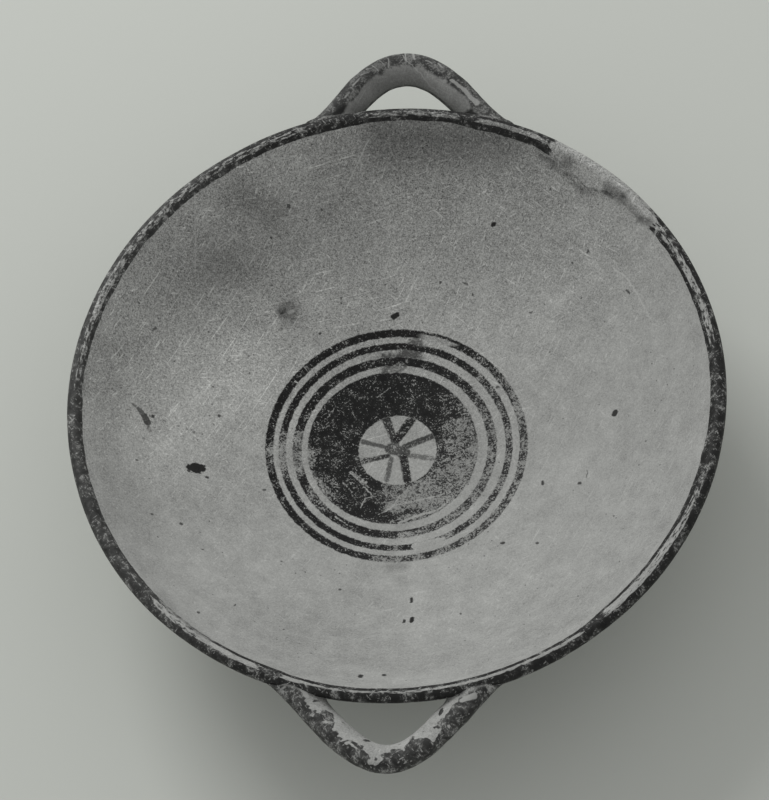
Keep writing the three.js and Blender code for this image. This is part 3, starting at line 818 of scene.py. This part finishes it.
# The lip's paint by angle: degrees, outer band, crest, inner line, the line's radius and half width
LIP_PAINT = [
    (0, 0.96, 0.86, 0.85, 100.4, 0.6), (8, 0.95, 0.72, 0.85, 100.4, 0.55),
    (12, 0.92, 0.42, 0.85, 100.3, 0.5), (16, 0.92, 0.4, 0.85, 100.3, 0.5),
    (19, 0.9, 0.55, 0.85, 100.3, 0.5), (22, 0.9, 0.38, 0.85, 100.3, 0.5),
    (26, 0.9, 0.38, 0.85, 100.3, 0.5), (29, 0.9, 0.6, 0.85, 100.3, 0.5), (35, 0.85, 0.45, 0.8, 100.2, 0.5),
    (37, 0.4, 0.06, 0.15, 99.8, 0.6), (43, 0.24, 0.08, 0.28, 99.4, 0.9), (47, 0.24, 0.08, 0.42, 99, 0.7),
    (49.5, 0.2, 0.04, 0.44, 97.8, 0.38), (52, 0.16, 0.04, 0.44, 97, 0.32),
    (57, 0.16, 0.04, 0.4, 98.4, 0.38), (60.5, 0.22, 0.06, 0.3, 99.6, 0.5), (62, 0.8, 0.6, 0.95, 100.4, 1),
    (64, 0.88, 0.22, 0.98, 100.5, 0.8), (75, 0.88, 0.24, 0.98, 100.4, 0.8),
    (77, 0.95, 0.85, 0.98, 100.4, 0.8), (80, 0.88, 0.45, 0.85, 100.6, 0.55),
    (96, 0.88, 0.5, 0.85, 100.6, 0.5), (98, 0.98, 0.85, 0.92, 100.5, 0.6),
    (107, 0.95, 0.75, 0.92, 100.4, 0.65), (110, 0.86, 0.5, 0.9, 100.4, 0.6),
    (130, 0.86, 0.54, 0.9, 100.4, 0.6), (150, 0.84, 0.5, 0.88, 100.4, 0.6),
    (160, 0.84, 0.45, 0.7, 100.4, 0.5), (163, 0.76, 0.28, 0.6, 100.4, 0.45),
    (166, 0.84, 0.5, 0.65, 100.4, 0.45), (178, 0.86, 0.6, 0.65, 100.6, 0.5),
    (182, 0.92, 0.86, 0.88, 100.8, 0.8), (205, 0.9, 0.88, 0.86, 100.8, 0.8),
    (223, 0.92, 0.84, 0.84, 100.8, 0.8), (227, 0.6, 0.42, 0.42, 100.6, 0.8),
    (238, 0.7, 0.36, 0.44, 100.5, 0.7), (241, 0.95, 0.2, 0.9, 100.4, 0.55),
    (248, 0.96, 0.25, 0.9, 100.4, 0.55), (249.5, 1, 1, 1, 100.6, 0.9),
    (251.5, 0.98, 0.95, 0.98, 100.7, 0.8), (253, 0.6, 0.12, 0.7, 101, 0.55),
    (255.5, 0.6, 0.12, 0.7, 101.2, 0.55), (258, 0.94, 0.4, 0.85, 101.5, 0.55),
    (270, 0.94, 0.42, 0.82, 101.5, 0.55), (285, 0.94, 0.26, 0.68, 101.3, 0.6),
    (304, 0.94, 0.24, 0.7, 101.2, 0.6), (306, 0.96, 0.88, 0.9, 100.9, 0.7),
    (308.5, 0.96, 0.8, 0.9, 100.2, 0.6), (310.5, 0.96, 0.3, 0.94, 99.6, 0.6),
    (328, 0.96, 0.36, 0.94, 99.6, 0.6), (332, 0.94, 0.42, 0.95, 99.9, 0.75),
    (346, 0.96, 0.78, 0.95, 100.1, 0.75), (352, 0.98, 0.92, 0.92, 100.3, 0.65),
    (360, 0.96, 0.86, 0.85, 100.4, 0.6),
]


def by_angle(n, share, column, low, high):
    """A column of the lip table as a curve over the share of a full turn, with values from low to high."""
    node = n.tree.nodes.new("ShaderNodeFloatCurve")
    curve = node.mapping.curves[0]
    rows = [(row[0] / 360, (row[column] - low) / (high - low)) for row in LIP_PAINT]
    curve.points[0].location, curve.points[1].location = rows[0], rows[-1]
    for row in rows[1:-1]:
        curve.points.new(*row)
    for point in curve.points:
        point.handle_type = "VECTOR"
    node.mapping.update()
    n.fill(node.inputs["Value"], share)
    return n.linear(node.outputs[0], high - low, low)


def laid(n, stroke, plan, marks, soft):
    """All strokes of a list, the strongest on top. Each stroke takes the plan on from the one before, with
    the cover as its third part."""
    for row in marks:
        plan = n.use(stroke, Plan=plan, Start=(row[0], row[1], 0), End=(row[2], row[3], 0), Width=row[4],
                     Strength=row[-1], Soft=soft, **{"End Width": row[5]})["Plan"]
    return n.parts(plan)[2]


def laid_from_faces(n, stroke, plan, name, soft):
    """The one mark of a kind that is nearest to each face, from the face's own attributes."""
    look = [n.add("Attribute", {}, "Vector", attribute_name=f"{name}_{part}")
            for part in ("start", "end", "size")]
    size = n.parts(look[2])
    plan = n.use(stroke, Plan=plan, Start=look[0], End=look[1], Width=size[0], Strength=size[2], Soft=soft,
                 **{"End Width": size[1]})["Plan"]
    return n.parts(plan)[2]


def stroke_depths(points, rows):
    """How far each plan point lies inside each stroke, negative outside: one column for each row."""
    start, end = rows[:, 0:2], rows[:, 2:4]
    run = end - start
    gone = points[:, None] - start
    share = np.clip((gone * run).sum(2) / np.maximum((run ** 2).sum(1), 1e-9), 0, 1)
    off = np.linalg.norm(gone - run * share[..., None], axis=2)
    return rows[:, 4] + (rows[:, 5] - rows[:, 4]) * share - off


def write_marks(piece):
    """Gives each face the mark of each kind that is nearest to it, and each point the stain and painted shade
    over it, and its pale spots and painted light.
    """
    mesh = piece.data
    corners = read(mesh.vertices, "co") / MM
    middles = read(mesh.polygons, "center")[:, :2] / MM
    for name, marks in (("spot", spot_rows()), ("scrape", SCRAPES), ("nick", NICKS)):
        rows = np.array(marks, float)
        near = [stroke_depths(part, rows).argmax(1) for part in np.array_split(middles, 40)]
        pick = rows[np.concatenate(near)]
        flat = np.zeros(len(pick))
        sets = {"start": (pick[:, 0], pick[:, 1], flat), "end": (pick[:, 2], pick[:, 3], flat),
                "size": (pick[:, 4], pick[:, 5], pick[:, 6])}
        for part, columns in sets.items():
            layer = mesh.attributes.new(f"{name}_{part}", "FLOAT_VECTOR", "FACE")
            layer.data.foreach_set("vector", np.stack(columns, 1).ravel())
    for name, marks in (("stain_and_shade", STAINS_AND_SHADE), ("pale", PALE_SPOTS_AND_PAINTED_LIGHT)):
        rows = np.array(marks, float)
        total = np.ones(len(corners))
        for part in rows:
            inside = stroke_depths(corners[:, :2], part[None])[:, 0]
            total *= 1 - part[7] * smooth(inside, -part[6], part[6])
        layer = mesh.attributes.new(name, "FLOAT", "POINT")
        layer.data.foreach_set("value", 1 - total)


def spot_rows():
    """The dark marks as short strokes: the ends lie apart by what the length has over the width."""
    rows = [(x, y, x, y, wide / 2, wide / 2, strength)
            for (wide, strength), places in SPECKS.items() for x, y in places]
    for x, y, long, wide, turn, strength in SPOTS:
        if wide > long:
            long, wide, turn = wide, long, turn + 90
        half = (long - wide) / 2
        dx, dy = half * math.cos(math.radians(turn)), half * math.sin(math.radians(turn))
        rows.append((x - dx, y - dy, x + dx, y + dy, wide / 2, wide / 2, strength))
    return rows


def disc(n, plan, centre, edge, soft=0.22):
    """1 inside a circle, 0 outside."""
    return n.step(n.vector("DISTANCE", plan, centre), n.math("ADD", edge, soft),
                  n.math("SUBTRACT", edge, soft))


CLAY_TINT = (1.0, 1.012, 0.972)
CLAY_ROUGH, SLIP_ROUGH, SPECULAR = 0.86, 0.55, 0.14
INSIDE_TONE, OUTSIDE_TONE = 0.335, 0.30
INSIDE_GRIT, OUTSIDE_GRIT = (0.52, 1.8), 0.6  # the inside's grows from near to far
EDGE_STRAY = 1.1  # how far the edges of the marks wander
SPOT_TONE, NICK_TONE, ROOT_TONE, BARE_TONE, RUBBED_TONE = 0.008, 0.46, 0.014, 0.34, 0.4
LIP_FROM = (95.0, 96.0)  # radii between which the lip's finish begins
LIP_LENGTH = 658.0  # round the lip
OUTER_BAND_FROM = (103.0, 104.0)
LIP_WEAR, LIP_FLECK = 0.30, 0.32


def new_material(name):
    """A material with its nodes and its shader."""
    material = bpy.data.materials.new(name)
    material.use_nodes = True
    return material, Nodes(material.node_tree), material.node_tree.nodes["Principled BSDF"]


def slipped(n, tone, slip, lighter):
    """The clay's tone with the slip on it. Worn slip leaves a shadow, and lighter raises the slip's tone."""
    tone = n.mix(n.times(slip["Worn"], 0.35), tone, n.times(tone, 0.72))
    return n.mix(slip["Mask"], tone, n.times(slip["Tone"], lighter))


def finish(n, shader, tone, slip, height):
    """Grey tone, roughness and bump onto the shader."""
    n.fill(shader.inputs["Base Color"], n.vector("SCALE", CLAY_TINT, scale=tone))
    n.fill(shader.inputs["Roughness"], n.mix(slip["Mask"], CLAY_ROUGH, SLIP_ROUGH))
    n.fill(shader.inputs["Normal"], n.add("Bump", {"Strength": 1.0, "Distance": MM, "Height": height}))
    shader.inputs["Specular IOR Level"].default_value = SPECULAR


def medallion(n, stroke, plan, ragged):
    """How much slip lies on the rings, disk and star, less the scraped places, and how worn it is."""
    rings = 0.0
    for x, y, low, high in RINGS:
        band = n.math("SUBTRACT", disc(n, plan, (x, y, 0), high), disc(n, plan, (x, y, 0), low))
        rings = n.most(rings, band)
    tondo = disc(n, plan, (*TONDO[:2], 0), TONDO[2])
    disk = n.times(disc(n, plan, (*DISK[:2], 0), DISK[2]), n.rest(tondo))
    star = n.times(laid(n, stroke, plan, STAR, 0.3), tondo)
    x, y, _ = n.parts(plan)
    thin = n.times(n.step(x, 3.5, 8.0), n.step(x, 19.5, 16.5), n.step(y, 36.0, 37.0),
                   disc(n, plan, (*RINGS[2][:2], 0), 41.7), 0.85)
    painted = n.most(n.times(rings, n.rest(thin)), disk, star)
    smear = n.swing(ragged, 1.3, laid(n, stroke, plan, SMEARS, 1.6))
    painted = n.most(painted, n.times(n.step(smear, 0.2, 0.75), 0.78))
    scraped = n.linear(laid_from_faces(n, stroke, plan, "scrape", 0.35), 0.75, ragged)
    painted = n.times(painted, n.step(scraped, 1.08, 0.78))
    right = n.step(n.linear(y, -0.45, x), 0.0, 20.0)
    in_disk = disc(n, plan, (*DISK[:2], 0), DISK[2], 1.0)
    worn = n.linear(right, n.mix(in_disk, 0.33, 0.44), 0.10)
    left_edge = n.step(n.vector("DISTANCE", plan, (-36.0, -3.0, 0.0)), 14.0, 3.0)
    low_left = n.step(n.vector("DISTANCE", plan, (-26.0, -17.0, 0.0)), 11.0, 3.0)
    low_side = n.times(n.step(y, -8.0, -15.0), n.step(y, -26.0, -21.0), n.step(x, -12.0, -1.0),
                       n.step(x, 19.0, 9.0, 0.55, 1.0))
    return painted, n.most(worn, n.times(left_edge, 0.62), n.times(star, 0.22), n.times(low_side, 0.66),
                           n.times(low_left, 0.40))


def lip_bands(n, mottle, radius, share):
    """How much slip lies on the lip's outer band, crest and inner line, and where the lip is."""
    outer = n.times(n.step(n.linear(mottle, 1.6, radius), *OUTER_BAND_FROM), by_angle(n, share, 1, 0, 1))
    line_at = by_angle(n, share, 4, 96, 104)
    off = n.math("SUBTRACT", n.linear(mottle, 0.9, radius), n.math("ADD", line_at, 0.45))
    line = n.step(n.math("SUBTRACT", by_angle(n, share, 5, 0, 1.5), n.math("ABSOLUTE", off)), -0.22, 0.22)
    line = n.times(line, by_angle(n, share, 3, 0, 1))
    crest = n.times(n.step(n.math("SUBTRACT", radius, line_at), -0.2, 0.4), by_angle(n, share, 2, 0, 1))
    along = n.add("CombineXYZ", {0: radius, 1: n.times(share, LIP_LENGTH)})
    streak = n.noise(n.vector("MULTIPLY", along, (1.4, 0.35, 1)), 1.0, 3.0, 0.6)
    crest = n.times(n.step(n.swing(streak, 1.7, crest), 0.34, 0.62), n.step(crest, 0.02, 0.12))
    outer = n.step(n.swing(streak, 1.1, outer), 0.30, 0.55)
    line = n.step(n.swing(streak, 0.7, line), 0.28, 0.6)
    on_lip = n.step(radius, *LIP_FROM)
    return n.times(n.most(outer, line, crest), on_lip), on_lip


def inside_material(groups):
    """The inside and the lip's top: pale clay, the medallion, the lip's bands, stains with painted shade on
    the far wall, painted light on the left wall, and marks.
    """
    material, n, shader = new_material("inside_clay_and_slip")
    place = n.use(groups["place"])
    point, radius, stroke = place["Point"], place["Radius"], groups["stroke"]
    wander = n.add("TexNoise", {"Vector": point, "Scale": 1 / 1.3, "Detail": 3.0, "Roughness": 0.65}, "Color")
    stray = n.vector("SCALE", n.vector("SUBTRACT", wander, (0.5, 0.5, 0.5)), scale=EDGE_STRAY)
    plan = n.vector("MULTIPLY", n.vector("ADD", place["Plan"], stray), (1, 1, 0))
    x, y, _ = n.parts(point)
    farward = n.step(n.linear(x, -0.45, y), -30.0, 90.0)
    clay = n.use(groups["clay"], Point=point, Radius=radius, Tone=INSIDE_TONE,
                 Grit=n.mix(farward, *INSIDE_GRIT))

    ragged = n.noise(n.moved(point, (4, 4, 4)), 0.9, 3.0, 0.7)
    painted, worn = medallion(n, stroke, plan, ragged)
    lip_paint, on_lip = lip_bands(n, clay["Mottle"], radius, place["Share"])
    slip = n.use(groups["slip"], Point=point, Cover=n.most(painted, lip_paint),
                 Wear=n.mix(on_lip, worn, LIP_WEAR), Fleck=n.mix(on_lip, 1.0, LIP_FLECK))

    spots = laid_from_faces(n, stroke, plan, "spot", 0.30)
    spots = n.times(n.step(n.swing(ragged, 1.1, spots), 0.22, 0.58), n.most(spots, 0.55))
    nicks = laid_from_faces(n, stroke, plan, "nick", 0.16)
    # Stains and painted shade on the far and upper left wall darken the clay; pale spots and painted light on
    # the left wall brighten it
    stains_and_shade, pale = (n.add("Attribute", {}, "Fac", attribute_name=name) for name in ("stain_and_shade", "pale"))
    uneven = n.swing(ragged, 0.9, n.linear(clay["Mottle"], 0.8, 0.6))
    shade_and_stain = n.rest(n.math("MULTIPLY", stains_and_shade, uneven, clamp=True))
    tone = n.times(clay["Tone"], shade_and_stain, n.math("ADD", pale, 1.0))
    tone = slipped(n, tone, slip, n.mix(on_lip, 1.0, n.step(x, -35.0, -80.0, 1.5, 3.4)))
    tone = n.mix(n.times(spots, 0.96), tone, SPOT_TONE)
    finish(n, shader, n.mix(nicks, tone, NICK_TONE), slip, clay["Height"])
    return material


# The handles' paint covers their outer side: shares of the way outwards and up by which its edge is set
PAINT_LEAN = (0.875, 0.485)
HANDLE_MIDDLE = LIP_CREST - HANDLE_BELOW_LIP - HANDLE_LIFT / 2
UNDER_LIP = (42.3, 42.9)  # heights between which the band under the lip begins
THIN_BAND = (27.2, 29.3)  # its heights
LOWER_BAND, FOOT_BAND = (48.4, 57.0), (38.0, 42.6)  # their radii
OFF_BOWL = (104.6, 106.0)  # distances from the axis between which the handles' finish begins
OUTSIDE_WEAR, NEAR_HANDLE_WEAR = 0.42, 0.36


def handle_offset(n, parts, handle):
    """How far outside a handle's centre line a place lies in plan, negative inside the loop."""
    side, tip_radius, arm_slope, lean, shift = handle
    half_width, half_length = arm_slope * tip_radius, arm_slope ** 2 * tip_radius
    tip = RIM_RADIUS + RIM_STRETCH + HANDLE_OUTREACH
    out = n.times(parts[1], side)
    across = n.math("ADD", parts[0], n.linear(out, side * lean, -side * (lean * tip + shift)))
    across = n.math("DIVIDE", across, half_width)
    reach = n.math("SQRT", n.linear(across, across, 1.0))
    off = n.linear(reach, half_length, n.math("SUBTRACT", out, tip + half_length))
    slope = n.times(n.math("DIVIDE", across, reach), arm_slope)
    return n.math("DIVIDE", off, n.math("SQRT", n.linear(slope, slope, 1.0)))


def outside_material(groups):
    """The outside, the foot and the handles: clay with a worn dark band under the lip, a thin band above the
    foot, a broader one below it, a dark foot, and blotchy slip on the handles' outer sides. The far handle
    carries painted shade: its clay is darker and dark slip covers its loop's inner underside."""
    material, n, shader = new_material("outside_clay_and_slip")
    place = n.use(groups["place"])
    point, radius, height = place["Point"], place["Radius"], place["Height"]
    clay = n.use(groups["clay"], Point=point, Radius=n.times(height, 1.7), Tone=OUTSIDE_TONE,
                 Grit=OUTSIDE_GRIT)
    sway = n.swing(clay["Mottle"], 2.0, height)
    foot = n.times(n.band(radius, *FOOT_BAND, 0.4), n.step(height, 0.5, 1.0))
    bands = n.most(n.step(sway, *UNDER_LIP), n.band(sway, *THIN_BAND, 0.3),
                   n.band(radius, *LOWER_BAND, 0.4), foot)

    parts = n.parts(point)
    off_bowl = n.step(n.vector("LENGTH", place["Plan"]), *OFF_BOWL)
    near = n.step(parts[1], -100.0, -108.0)
    blotch = n.math("SUBTRACT", n.noise(n.moved(point, (6, 2, 9)), 4.6, 2.0, 0.55, 0.3), 0.5)
    raised = n.times(n.math("SUBTRACT", height, HANDLE_MIDDLE), PAINT_LEAN[1])
    far_side = n.linear(handle_offset(n, parts, HANDLES[0]), PAINT_LEAN[0], raised)
    near_side = n.math("SUBTRACT", n.times(handle_offset(n, parts, HANDLES[1]), PAINT_LEAN[0]), raised)
    # The far handle's paint on its outer side, and painted shade: dark slip past the inner edge covers the
    # loop's inner underside
    far_paint_and_shade = n.most(n.step(n.linear(blotch, 5.0, far_side), 0.6, 1.6), n.step(far_side, -4.5, -5.1))
    near_paint = n.step(n.linear(blotch, 17.0, near_side), -2.3, -1.6)
    handles = n.mix(near, far_paint_and_shade, near_paint)
    cover = n.most(n.times(off_bowl, handles), n.times(n.rest(off_bowl), bands))
    slip = n.use(groups["slip"], Point=point, Cover=cover, Wear=n.mix(near, OUTSIDE_WEAR, NEAR_HANDLE_WEAR),
                 Fleck=n.mix(near, 0.6, 0.25))

    dust = n.step(n.noise(n.moved(point, (8, 3, 3)), 22.0, 3.0), 0.5, 0.75)
    # Painted shade: the far handle's clay is darkened by about a third
    far_handle_painted_shade = n.times(off_bowl, n.step(parts[1], 100.0, 106.0))
    tone = n.times(clay["Tone"], n.linear(dust, -0.16, 1.0), n.linear(far_handle_painted_shade, -0.34, 1.0),
                   n.linear(n.times(off_bowl, near), 0.12, 1.0))
    tone = slipped(n, tone, slip, n.linear(off_bowl, 1.7, 1.0))
    stray = n.vector("SCALE", n.math("SUBTRACT", clay["Mottle"], 0.5), scale=2.4)
    plan = n.vector("MULTIPLY", n.vector("ADD", place["Plan"], stray), (1, 1, 0))
    for marks, soft, mark_tone in ((ROOT_PATCHES, 0.6, ROOT_TONE), (HANDLE_NICKS, 0.2, BARE_TONE)):
        tone = n.mix(n.times(laid(n, groups["stroke"], plan, marks, soft), off_bowl), tone, mark_tone)
    rubbed = n.times(n.step(height, 0.7, 0.1), n.step(radius, 41.0, 40.0), 0.5)
    tone = n.mix(rubbed, tone, RUBBED_TONE)
    finish(n, shader, tone, slip, n.linear(slip["Mask"], 0.03, clay["Height"]))
    return material


def pottery_materials():
    """The inside's and the outside's materials, built on the shared groups."""
    groups = {"place": place_group(), "stroke": stroke_group(), "clay": clay_group(), "slip": slip_group()}
    return [inside_material(groups), outside_material(groups)]


# Floor and light

TABLE_HALF = 1500.0
TABLE_COLOUR, TABLE_ROUGH = (0.55, 0.57, 0.53, 1), 0.9
KEY_PLACE, KEY_SIZE, KEY_POWER = (-0.76, 1.13, 1.0), 0.8, 15  # metres and watts
SURROUND_STRENGTH = 0.55


def floor():
    """A pale matt table under the bowl."""
    corners = TABLE_HALF * np.array([[-1, -1, 0], [1, -1, 0], [1, 1, 0], [-1, 1, 0]])
    table = make_mesh("table", corners, [np.array([[0, 1, 2, 3]])])
    material, _, shader = new_material("pale_table")
    shader.inputs["Base Color"].default_value = TABLE_COLOUR
    shader.inputs["Roughness"].default_value = TABLE_ROUGH
    table.data.materials.append(material)


def soft_light(name, place, size, power):
    """A square studio light that faces the bowl."""
    data = bpy.data.lights.new(name, "AREA")
    data.size, data.energy = size, power
    lamp = in_scene(name, data)
    lamp.location = place
    lamp.rotation_euler = (Vector((0, 0, 0.02)) - Vector(place)).to_track_quat("-Z", "Y").to_euler()


def studio():
    """A broad key from the far left, and an even pale surround."""
    soft_light("key", KEY_PLACE, KEY_SIZE, KEY_POWER)
    world = bpy.data.worlds.new("surround")
    world.use_nodes = True
    background = world.node_tree.nodes["Background"].inputs
    background["Color"].default_value = (1, 1, 1, 1)
    background["Strength"].default_value = SURROUND_STRENGTH
    bpy.context.scene.world = world
    bpy.context.scene.view_settings.view_transform = "Standard"


camera()
floor()
studio()
bowl = joined_bowl(pottery_materials())
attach(bowl, "root")
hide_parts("bowl")
